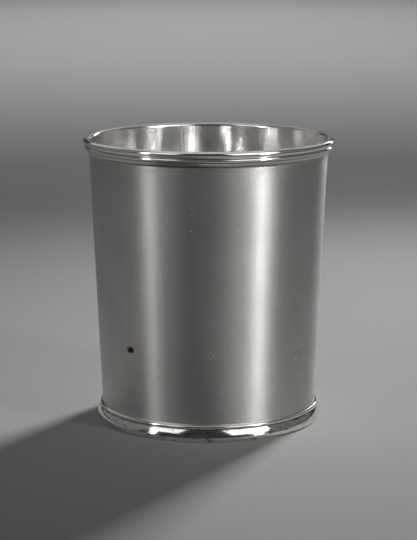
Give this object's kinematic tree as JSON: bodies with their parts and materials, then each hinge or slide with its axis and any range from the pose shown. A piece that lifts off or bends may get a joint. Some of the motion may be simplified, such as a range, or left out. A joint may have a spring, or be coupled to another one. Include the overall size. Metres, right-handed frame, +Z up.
{
  "type": "silver beaker",
  "caption": "Tapering silver beaker: a rolled and seamed sheet wall, a flat base let in above the table, and reeded mouldings soldered round the lip and the foot.",
  "frame": {"origin": "on the cup's axis, at the level of the table that the foot stands on", "axes": "+Z up along the cup's axis; -Y towards the viewer; the wall's seam is at the back, a little to the viewer's left"},
  "size_m": [0.081, 0.081, 0.092],
  "materials": {
    "satin_silver": "rolled silver sheet, burnished to a satin outside",
    "polished_silver": "polished silver, bright with fine wear",
    "silver_solder": "silver solder, filed flush and a little darker than the sheet"
  },
  "bodies": {
    "root": {"body_wall": "satin_silver", "body_seam_solder": "silver_solder", "base_disc": "polished_silver", "base_inner_solder": "silver_solder", "base_under_solder": "silver_solder", "rim_moulding": "polished_silver", "rim_joint_solder": "silver_solder", "rim_edge_solder": "silver_solder", "foot_moulding": "polished_silver", "foot_joint_solder": "silver_solder", "foot_edge_solder": "silver_solder"}
  },
  "joints": []
}
